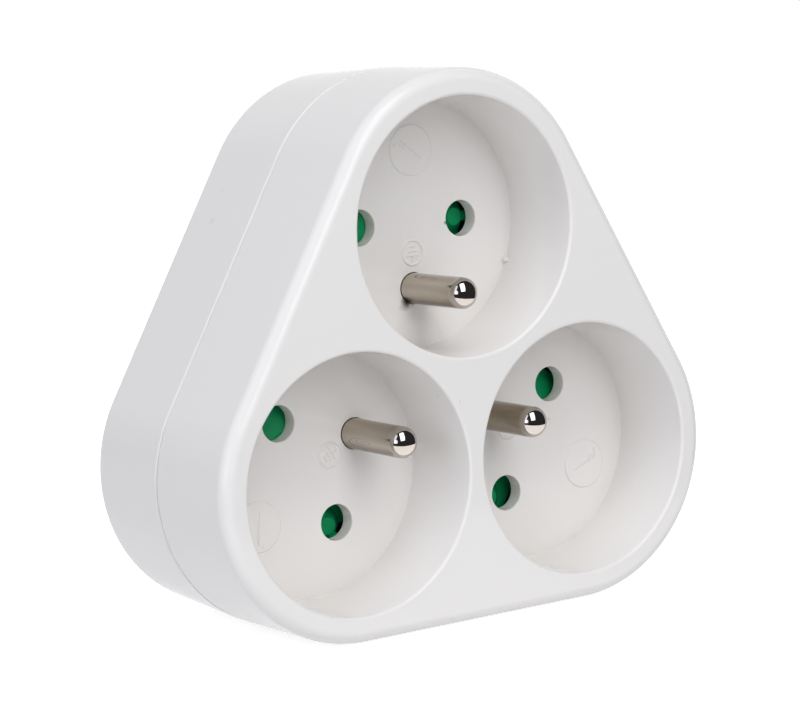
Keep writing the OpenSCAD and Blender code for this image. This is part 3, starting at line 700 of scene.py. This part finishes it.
# %% Notches, grooves and bores of the plug
plug_back = depth(overall_d)
block_back = depth(body_d)
for x in (-plug_r, plug_r):
    cut(rear, box("notch", (x - notch_d, block_back, -notch_w / 2),
                  (x + notch_d, plug_back + over, notch_w / 2)))
for z in (-1, 1):
    low, high = sorted((z * groove_floor, z * (plug_r + over)))
    cut(rear, box("groove", (-groove_w / 2, block_back, low), (groove_w / 2, depth(plug_inside), high)))
pin_boss_r, pin_boss_l = 3.5 * MM, 8 * MM
hair = 0.05 * MM
shank_bore_r = 2.08 * MM
sleeve_bore_r = 3.58 * MM
mouth_r = 2.9 * MM
lip = 0.3 * MM
pin_boss = [(pin_boss_r, plug_inside + hair), (pin_boss_r, plug_inside - pin_boss_l)]
for x in (-pin_gap / 2, pin_gap / 2):
    place = Vector((x, 0, 0))
    cut(rear, turn("boss", pin_boss, HOLE, place), operation="UNION")
    cut(rear, turn("drill", [(shank_bore_r, back_inner), (shank_bore_r, overall_d + over)], HOLE, place))
earth_place = Vector((0, 0, plug_earth_off))
mouth = [(sleeve_bore_r, plug_inside - over), (sleeve_bore_r, overall_d - over), (mouth_r, overall_d - over),
         (mouth_r, overall_d - lip), (mouth_r + lip, overall_d), (mouth_r + lip, overall_d + over)]
cut(rear, turn("drill", mouth, PIN, earth_place))
head_bore_r = 3.1 * MM
shank_hole_r = 1.75 * MM
bore = [(shank_hole_r, rear_boss_start - over), (shank_hole_r, screw_seat), (head_bore_r, screw_seat),
        (head_bore_r, body_d - lip), (head_bore_r + lip, body_d), (head_bore_r + lip, body_d + over)]
for side in SIDES:
    cut(rear, turn("drill", bore, HOLE, at_screw(side)))
smooth(rear, mould_crease)
rear.name = "rear_moulding"
finish_piece(rear, "root", "white_plastic", "rear_cover")

# %% [markdown]
# ## Pins
# An earth pin is turned from brass bar and nickel plated. Its tip is polished and a little flatter than
# half a ball. A sphere on a cylinder would be too round, so the whole pin is turned from one profile,
# with the neck, the collar and the tail that hold it behind the floor. The pins of the plug are turned
# the same way.


# %% Earth pins
dome_steps = 16
last_angle = 89


def dome(radius, tip, bulge, towards):
    """A pin's round end, from its shank to the tip, `towards` -1 to the face or 1 to the wall.

    It stops a degree short of the tip, where the turned piece gets its small flat cap.
    """
    start = tip - towards * bulge
    angles = [math.radians(last_angle * i / dome_steps) for i in range(dome_steps + 1)]
    return [(radius * math.cos(a), start + towards * bulge * math.sin(a)) for a in angles]


pin_tip = 0.1 * MM
earth_bulge = 2.0 * MM
neck_r = 2.1 * MM
collar_r = 3.7 * MM
collar_back = 18.8 * MM
shank_r = 1.8 * MM
deck_back = 23.3 * MM
plate_back = 24.1 * MM
tail_r = 1.35 * MM
tail_head_r = 2.07 * MM
tail_end = 24.7 * MM
base_edge = 0.1 * MM

for side in SIDES:
    profile = [(tail_r, tail_end), (tail_head_r, plate_back), (tail_r, plate_back), (tail_r, deck_back),
               (shank_r, deck_back), (shank_r, collar_back), (collar_r, collar_back), (collar_r, floor_back),
               (neck_r, floor_back), (neck_r, recess_d), (pin_r - base_edge, recess_d),
               (pin_r, recess_d - base_edge)]
    profile += dome(pin_r, pin_tip, earth_bulge, -1)
    pin = turn("turned_earth_pin_" + side, profile, PIN, at_socket(side, 0, -earth_off))
    smooth(pin, metal_crease)
    finish_piece(pin, "root", "nickel_plate", "earth_pin_" + side)

# %% Plug pins
plug_pin_l = 19 * MM
plug_shank_r = 2.0 * MM
plug_neck_r = 1.5 * MM
plug_head_r = 2.3 * MM
plug_head_t = 0.7 * MM
plug_bulge = 2.1 * MM
bar_t = 0.8 * MM
live_back, neutral_back = 35.8 * MM, 39.6 * MM
for name, x, bar_back in (("live", pin_gap / 2, live_back), ("neutral", -pin_gap / 2, neutral_back)):
    bar_front = bar_back - bar_t
    profile = [(plug_neck_r, bar_front - plug_head_t), (plug_head_r, bar_front), (plug_neck_r, bar_front),
               (plug_neck_r, bar_back), (plug_shank_r, bar_back), (plug_shank_r, overall_d),
               (pin_r, overall_d), (pin_r, overall_d + over)]
    profile += dome(pin_r, overall_d + plug_pin_l, plug_bulge, 1)
    pin = turn("turned_plug_pin_" + name, profile, PIN, Vector((x, 0, 0)))
    smooth(pin, metal_crease)
    finish_piece(pin, "root", "nickel_plate", "plug_pin_" + name)

# %% [markdown]
# ## Springs
# Each shutter has a small coil spring that pushes it shut. The imported coil is rigid, and when its shutter
# opens it would poke through it. So it is wound again: a small circle is swept along a helix with the
# Screw modifier. The left shutter slides the other way, as the mirror image of the right one, and its
# spring lies the other way round.

# %% Wind the springs
wire_r = 0.2 * MM
wire_sides = 8
coil_r = 1.3 * MM
turns = 5
turn_steps = 24
spring_start = 12.65 * MM
spring_end = 21.25 * MM
spring_depth = 19.3 * MM

for side in SIDES:
    deselect()
    bpy.ops.mesh.primitive_circle_add(vertices=wire_sides, radius=wire_r, location=(0, coil_r, 0),
                                      rotation=(math.pi / 2, 0, 0))
    coil = settle(bpy.context.object, "coil")
    pitch = (spring_end - spring_start - 2 * wire_r) / turns
    use(coil, "SCREW", axis="Z", angle=2 * math.pi, iterations=turns, steps=turn_steps,
        render_steps=turn_steps, screw_offset=pitch, use_normal_calculate=True)
    bpy.ops.object.mode_set(mode="EDIT")
    choose(coil, "EDGE", lambda edge: edge.is_boundary)
    bpy.ops.mesh.edge_face_add()
    bpy.ops.mesh.select_all(action="SELECT")
    bpy.ops.mesh.normals_make_consistent(inside=False)
    bpy.ops.object.mode_set(mode="OBJECT")
    coil.rotation_euler = (0, math.pi / 2, 0)
    coil.location = (spring_start + wire_r, 0, 0)
    settle(coil, "coil")
    half_turn = 0 if SLIDE[side] > 0 else math.pi
    coil.rotation_euler = (0, half_turn - TURN[side], 0)
    coil.location = at_socket(side, 0, 0, spring_depth)
    settle(coil, "wound_spring_" + side)
    smooth(coil, wire_crease)
    finish_piece(coil, "root", "spring_wire", "shutter_spring_" + side)
    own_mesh(coil)

# %% [markdown]
# ## Cover screws
# Three screws hold the covers together. Only their heads are seen, at the bottom of deep bores in the
# back: pan heads with a cross recess. One is turned and cut, and the rest are made the same way.

# %% Turn the screws
head_r = 2.7 * MM
head_h, rim_h, crown_h = 2.2 * MM, 1.1 * MM, 1.1 * MM
crown_angles = [math.radians(a) for a in (20, 40, 60, 75)]
screw_shank_r = 1.45 * MM
point_r, point_l = 0.7 * MM, 1.2 * MM
cross_w = 0.8 * MM
cross_l = 3.2 * MM
cross_d = 1.3 * MM
screws = []
for side in SIDES:
    place = at_screw(side)
    profile = [(point_r, screw_tip), (screw_shank_r, screw_tip + point_l), (screw_shank_r, screw_seat),
               (head_r, screw_seat), (head_r, screw_seat + rim_h)]
    profile += [(head_r * math.cos(a), screw_seat + rim_h + crown_h * math.sin(a)) for a in crown_angles]
    screw = turn("screw", profile, HOLE, place)
    for size in ((cross_l, cross_w), (cross_w, cross_l)):
        reach = Vector((size[0] / 2, 0, size[1] / 2))
        top = depth(screw_seat + head_h)
        cut(screw, box("slot", (place.x - reach.x, top - cross_d, place.z - reach.z),
                       (place.x + reach.x, top + over, place.z + reach.z)))
    screws.append(screw)
take(screws[0])
for screw in screws[1:]:
    screw.select_set(True)
bpy.ops.object.join()
settle(screws[0], "turned_cover_screws")
smooth(screws[0], metal_crease)
finish_piece(screws[0], "root", "zinc_steel", "cover_screws")

# %% [markdown]
# ## Finishes
# Most of the object is white plastic, and a flat white would look like plaster. Real moulded plastic has
# a satin skin whose gloss changes a little from place to place, a very fine ripple, and on a used piece a
# few dark specks of dust. All three plastics share that skin, so it is a node group. It puts out masks
# and a height only, and each material decides what to do with them.


# %% The moulded skin
def group(name, takes, gives):
    """Starts a node group with float inputs and float outputs."""
    tree = bpy.data.node_groups.new(name, "ShaderNodeTree")
    for socket, value in takes.items():
        made = tree.interface.new_socket(name=socket, in_out="INPUT", socket_type="NodeSocketFloat")
        made.default_value = value
    for socket in gives:
        tree.interface.new_socket(name=socket, in_out="OUTPUT", socket_type="NodeSocketFloat")
    return tree, node(tree, "NodeGroupInput", (-1200, 0)), node(tree, "NodeGroupOutput", (800, 0))


def scaled(tree, source, factor, place):
    """Multiplies a value by another value or by a socket."""
    product = node(tree, "ShaderNodeMath", place, operation="MULTIPLY")
    tree.links.new(source, product.inputs[0])
    if isinstance(factor, (int, float)):
        product.inputs[1].default_value = factor
    else:
        tree.links.new(factor, product.inputs[1])
    return product.outputs[0]


skin, given, out = group("moulded_skin", {"Specks": 0.5}, ("Ripple", "Gloss change", "Speck mask"))
place = node(skin, "ShaderNodeTexCoord", (-1200, 300))
ripple = node(skin, "ShaderNodeTexNoise", (-800, 300), inputs={"Scale": 140, "Detail": 1, "Roughness": 0.4})
cloud = node(skin, "ShaderNodeTexNoise", (-800, 50), inputs={"Scale": 60, "Detail": 3, "Roughness": 0.55})
specks = node(skin, "ShaderNodeTexVoronoi", (-800, -200), inputs={"Scale": 230, "Randomness": 1})
sizes = node(skin, "ShaderNodeMapRange", (-550, -200),
             inputs={"From Min": 0.055, "From Max": 0.03, "To Max": 1})
rare = node(skin, "ShaderNodeTexNoise", (-800, -450), inputs={"Scale": 110, "Detail": 1})
few = node(skin, "ShaderNodeMapRange", (-550, -450), inputs={"From Min": 0.6, "From Max": 0.68, "To Max": 1})
for texture in (ripple, cloud, specks, rare):
    skin.links.new(place.outputs["Object"], texture.inputs["Vector"])
skin.links.new(specks.outputs["Distance"], sizes.inputs["Value"])
skin.links.new(rare.outputs["Fac"], few.inputs["Value"])
both = scaled(skin, sizes.outputs[0], few.outputs[0], (-300, -300))
skin.links.new(ripple.outputs["Fac"], out.inputs["Ripple"])
skin.links.new(cloud.outputs["Fac"], out.inputs["Gloss change"])
skin.links.new(scaled(skin, both, given.outputs["Specks"], (-100, -300)), out.inputs["Speck mask"])
print("moulded skin:", len(skin.nodes), "nodes")

# %% [markdown]
# Use has left a few marks: brown dirt where the top earth pin leaves the floor and at the rim of one pin
# hole, and a faint smudge on the left side. Each is a ragged spot round one place, so one small group
# makes the mask of such a spot, and the white plastic and the nickel set the places and sizes.

# %% A stain's mask
stain, given, out = group("stain", {"X": 0.0, "Y": 0.0, "Z": 0.0, "Radius": 1 * MM, "Strength": 1.0},
                          ("Mask",))
place = node(stain, "ShaderNodeTexCoord", (-1200, 300))
centre = node(stain, "ShaderNodeCombineXYZ", (-1000, 0))
reach = node(stain, "ShaderNodeVectorMath", (-800, 200), operation="DISTANCE")
ragged = node(stain, "ShaderNodeTexNoise", (-800, -100), inputs={"Scale": 800, "Detail": 2})
rough_edge = node(stain, "ShaderNodeMapRange", (-600, -100),
                  inputs={"From Min": 0.3, "From Max": 0.7, "To Min": 0.65, "To Max": 1.35})
for axis in "XYZ":
    stain.links.new(given.outputs[axis], centre.inputs[axis])
stain.links.new(place.outputs["Object"], reach.inputs[0])
stain.links.new(centre.outputs[0], reach.inputs[1])
stain.links.new(place.outputs["Object"], ragged.inputs["Vector"])
stain.links.new(ragged.outputs["Fac"], rough_edge.inputs["Value"])
edge = scaled(stain, given.outputs["Radius"], rough_edge.outputs[0], (-400, -100))
fade = node(stain, "ShaderNodeMapRange", (-200, 100), interpolation_type="SMOOTHSTEP",
            inputs={"To Min": 1, "To Max": 0})
stain.links.new(reach.outputs["Value"], fade.inputs["Value"])
stain.links.new(edge, fade.inputs["From Max"])
stain.links.new(scaled(stain, fade.outputs[0], given.outputs["Strength"], (100, 100)), out.inputs["Mask"])
print("stain:", len(stain.nodes), "nodes")


def add_stains(tree, colour, stains):
    """Lays stains of (place, radius, strength, tone) over a colour and gives the new colour."""
    for i, (place, radius, strength, tone) in enumerate(stains):
        mask = node(tree, "ShaderNodeGroup", (i * 250, 500), node_tree=stain,
                    inputs={"X": place[0], "Y": place[1], "Z": place[2],
                            "Radius": radius, "Strength": strength})
        over_it = node(tree, "ShaderNodeMix", (i * 250 + 200, 400), data_type="RGBA", inputs={7: (*tone, 1)})
        tree.links.new(colour, over_it.inputs[6])
        tree.links.new(mask.outputs["Mask"], over_it.inputs[0])
        colour = over_it.outputs[2]
    return colour


# %% [markdown]
# White, green and blue plastic differ only in tone and gloss, so one function makes all three. Two close
# tones follow the same clouds as the gloss. The gloss stays in a narrow range, because a wide one shows
# as patches on the white.

# %% White, green and blue plastic
SPECK = (0.16, 0.14, 0.12)
gloss_less, gloss_more = 0.04, 0.05
ripple_h = 0.004 * MM


def start_material(name):
    """A new material with only the Principled shader and its output."""
    made = bpy.data.materials.new(name)
    made.use_nodes = True
    tree = made.node_tree
    tree.nodes.clear()
    shader = node(tree, "ShaderNodeBsdfPrincipled", (400, 0))
    result = node(tree, "ShaderNodeOutputMaterial", (700, 0))
    tree.links.new(shader.outputs[0], result.inputs[0])
    return made, tree, shader


def plastic(name, colour, shade, rough, specks, specular, stains=()):
    """Moulded plastic: two close tones, a gloss that varies, a faint ripple, a few specks and stains."""
    made, tree, shader = start_material(name)
    skin_node = node(tree, "ShaderNodeGroup", (-800, 0), node_tree=skin, inputs={"Specks": specks})
    tones = node(tree, "ShaderNodeMix", (-400, 200), data_type="RGBA",
                 inputs={6: (*colour, 1), 7: (*shade, 1)})
    spotted = node(tree, "ShaderNodeMix", (-150, 200), data_type="RGBA", inputs={7: (*SPECK, 1)})
    gloss = node(tree, "ShaderNodeMapRange", (-400, 0),
                 inputs={"From Min": 0.35, "From Max": 0.65,
                         "To Min": rough - gloss_less, "To Max": rough + gloss_more})
    bump = node(tree, "ShaderNodeBump", (-150, -250), inputs={"Strength": 0.5, "Distance": ripple_h})
    tree.links.new(skin_node.outputs["Gloss change"], tones.inputs[0])
    tree.links.new(tones.outputs[2], spotted.inputs[6])
    tree.links.new(skin_node.outputs["Speck mask"], spotted.inputs[0])
    surface = add_stains(tree, spotted.outputs[2], stains)
    tree.links.new(surface, shader.inputs["Base Color"])
    tree.links.new(skin_node.outputs["Gloss change"], gloss.inputs["Value"])
    tree.links.new(gloss.outputs[0], shader.inputs["Roughness"])
    tree.links.new(skin_node.outputs["Ripple"], bump.inputs["Height"])
    tree.links.new(bump.outputs[0], shader.inputs["Normal"])
    shader.inputs["IOR"].default_value = 1.5
    shader.inputs["Specular IOR Level"].default_value = specular
    return made


# %% Marks and plastics
DIRT = (0.13, 0.055, 0.02)
DARK_DIRT = (0.05, 0.024, 0.01)
SMUDGE = (0.3, 0.3, 0.32)
pin_foot = at_socket("top", -1.45 * MM, -earth_off - 2.0 * MM, recess_d)
hole_rim = at_socket("top", pin_gap / 2 - 2.9 * MM, -0.5 * MM, recess_d)
along_flank = (at_socket("top") - at_socket("left")).normalized()
flank_mark = (at_socket("left", 0, 0, 30.6 * MM) + 30.5 * MM * along_flank
              + corner_r * Vector((-along_flank.z, 0, along_flank.x)))
white_marks = ((pin_foot, 1.5 * MM, 0.97, DARK_DIRT), (hole_rim, 0.55 * MM, 0.9, DIRT),
               (flank_mark, 1.2 * MM, 0.16, SMUDGE))
pin_marks = ((pin_foot, 1.3 * MM, 0.9, DIRT),)
white = plastic("white_moulding", (0.885, 0.862, 0.832), (0.875, 0.851, 0.82), rough=0.13, specks=0.25,
                specular=0.33, stains=white_marks)
green = plastic("green_moulding", (0.008, 0.375, 0.135), (0.006, 0.34, 0.122), rough=0.4, specks=0.0,
                specular=0.15)
blue = plastic("blue_moulding", (0.012, 0.03, 0.15), (0.01, 0.025, 0.12), rough=0.4, specks=0.0,
               specular=0.3)
print("plastics:", [plain.name for plain in (white, green, blue)])

# %% [markdown]
# Metal needs something else. The pins were nickel plated once, and handling has left a warm brown haze
# along their sides with streaks in the direction in which a plug slides, while the rounded tips stay
# bright. The haze follows the pin's axis, so its noise is stretched along Y. The undersides are painted
# darker than the tops as painted shade, and the Z of the surface's normal tells the two apart.

# %% The metals' haze
haze, given, out = group("metal_haze", {"Grain": 300.0, "Stretch": 0.12}, ("Haze", "Streaks"))
place = node(haze, "ShaderNodeTexCoord", (-1200, 300))
along = node(haze, "ShaderNodeCombineXYZ", (-1000, 0), inputs={"X": 1, "Z": 1})
haze.links.new(given.outputs["Stretch"], along.inputs["Y"])
stretched = node(haze, "ShaderNodeMapping", (-800, 200), vector_type="POINT")
haze.links.new(place.outputs["Object"], stretched.inputs["Vector"])
haze.links.new(along.outputs[0], stretched.inputs["Scale"])
clouds = node(haze, "ShaderNodeTexNoise", (-500, 300), inputs={"Detail": 2, "Roughness": 0.5})
lines = node(haze, "ShaderNodeTexNoise", (-500, 0), inputs={"Detail": 2})
haze.links.new(stretched.outputs[0], clouds.inputs["Vector"])
haze.links.new(given.outputs["Grain"], clouds.inputs["Scale"])
haze.links.new(stretched.outputs[0], lines.inputs["Vector"])
haze.links.new(scaled(haze, given.outputs["Grain"], 8.0, (-700, -100)), lines.inputs["Scale"])
haze.links.new(clouds.outputs["Fac"], out.inputs["Haze"])
haze.links.new(lines.outputs["Fac"], out.inputs["Streaks"])
print("metal haze:", len(haze.nodes), "nodes")

streak_h = 0.01 * MM
tip_blend = 0.5 * MM
haze_full = 0.7


def metal(name, bright, dull, rough, dull_rough, haze_from=0.35, polished_to=None, underside_shade=None, stains=()):
    """Metal with a haze and fine streaks, and for a pin also a polished tip and an underside painted darker
    as shade.
    """
    made, tree, shader = start_material(name)
    haze_node = node(tree, "ShaderNodeGroup", (-800, 0), node_tree=haze)
    mask = node(tree, "ShaderNodeMapRange", (-550, 100),
                inputs={"From Min": haze_from, "From Max": haze_full})
    tones = node(tree, "ShaderNodeMix", (-300, 200), data_type="RGBA",
                 inputs={6: (*bright, 1), 7: (*dull, 1)})
    gloss = node(tree, "ShaderNodeMapRange", (-300, 0), inputs={"To Min": rough, "To Max": dull_rough})
    bump = node(tree, "ShaderNodeBump", (-150, -250), inputs={"Strength": 0.25, "Distance": streak_h})
    tree.links.new(haze_node.outputs["Haze"], mask.inputs["Value"])
    dullness, surface = mask.outputs[0], tones.outputs[2]
    if polished_to is not None:
        place = node(tree, "ShaderNodeTexCoord", (-1000, 500))
        along_pin = node(tree, "ShaderNodeSeparateXYZ", (-800, 500))
        tip = node(tree, "ShaderNodeMapRange", (-600, 500), interpolation_type="SMOOTHSTEP",
                   inputs={"From Min": depth(polished_to - tip_blend),
                           "From Max": depth(polished_to + tip_blend)})
        tree.links.new(place.outputs["Object"], along_pin.inputs[0])
        tree.links.new(along_pin.outputs["Y"], tip.inputs["Value"])
        dullness = scaled(tree, dullness, tip.outputs[0], (-400, 400))
        # Painted shade: faces that point down get the darker underside tone, chosen by the Z of the normal.
        facing = node(tree, "ShaderNodeTexCoord", (-1000, 800))
        parts = node(tree, "ShaderNodeSeparateXYZ", (-800, 800))
        under = node(tree, "ShaderNodeMapRange", (-600, 800), interpolation_type="SMOOTHSTEP",
                     inputs={"From Min": -0.1, "From Max": -0.95})
        darker = node(tree, "ShaderNodeMix", (-200, 600), data_type="RGBA", inputs={7: (*underside_shade, 1)})
        tree.links.new(facing.outputs["Normal"], parts.inputs[0])
        tree.links.new(parts.outputs["Z"], under.inputs["Value"])
        tree.links.new(scaled(tree, under.outputs[0], tip.outputs[0], (-400, 700)), darker.inputs[0])
        tree.links.new(surface, darker.inputs[6])
        surface = darker.outputs[2]
    tree.links.new(dullness, tones.inputs[0])
    surface = add_stains(tree, surface, stains)
    tree.links.new(surface, shader.inputs["Base Color"])
    tree.links.new(dullness, gloss.inputs["Value"])
    tree.links.new(gloss.outputs[0], shader.inputs["Roughness"])
    tree.links.new(haze_node.outputs["Streaks"], bump.inputs["Height"])
    tree.links.new(bump.outputs[0], shader.inputs["Normal"])
    shader.inputs["Metallic"].default_value = 1.0
    return made


# %% Nickel, brass and steel
# The pins' darker underside tone is painted shade.
nickel = metal("nickel_plate_worn", (0.55, 0.50, 0.45), (0.34, 0.275, 0.18), 0.06, 0.2, haze_from=0.25,
               polished_to=2.2 * MM, underside_shade=(0.17, 0.135, 0.1), stains=pin_marks)
bright_nickel = metal("nickel_plate_clean", (0.66, 0.62, 0.56), (0.58, 0.53, 0.46), 0.16, 0.24)
brass = metal("rolled_brass", (0.66, 0.45, 0.17), (0.52, 0.35, 0.14), 0.25, 0.4)
steel = metal("zinc_plated_steel", (0.58, 0.60, 0.62), (0.48, 0.50, 0.53), 0.22, 0.35)
wire = metal("drawn_wire", (0.55, 0.55, 0.57), (0.42, 0.42, 0.44), 0.25, 0.35)
print("metals:", [bare.name for bare in (nickel, bright_nickel, brass, steel, wire)])

# %% [markdown]
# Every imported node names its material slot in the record, so one table of slots could dress them all.
# The new pieces, and the plug's side clip with its cleaner plating, are found by the start of their
# names in a second table, which is read last.

# %% Dress every piece
FINISH = {"white_plastic": white, "green_plastic": green, "blue_plastic": blue, "nickel_plate": nickel,
          "bare_brass": brass, "zinc_steel": steel, "spring_wire": wire}
BY_NAME = {"front_moulding": white, "rear_moulding": white, "turned_earth_pin": nickel,
           "turned_plug_pin": bright_nickel, "plug_earth_clip": bright_nickel,
           "wound_spring": wire, "turned_cover_screws": steel}


def dress(piece, material):
    """Gives the piece one material all over."""
    piece.data.materials.clear()
    piece.data.materials.append(material)


slots = {part["node"]: part["material_slot"] for part in frame["record"]["subparts"]}
for name, piece in nodes.items():
    dress(piece, FINISH[slots[name]])
for piece in bpy.data.objects:
    for start, material in BY_NAME.items():
        if piece.name.startswith(start):
            dress(piece, material)
print("dressed:", len(nodes), "packed nodes and the new pieces")
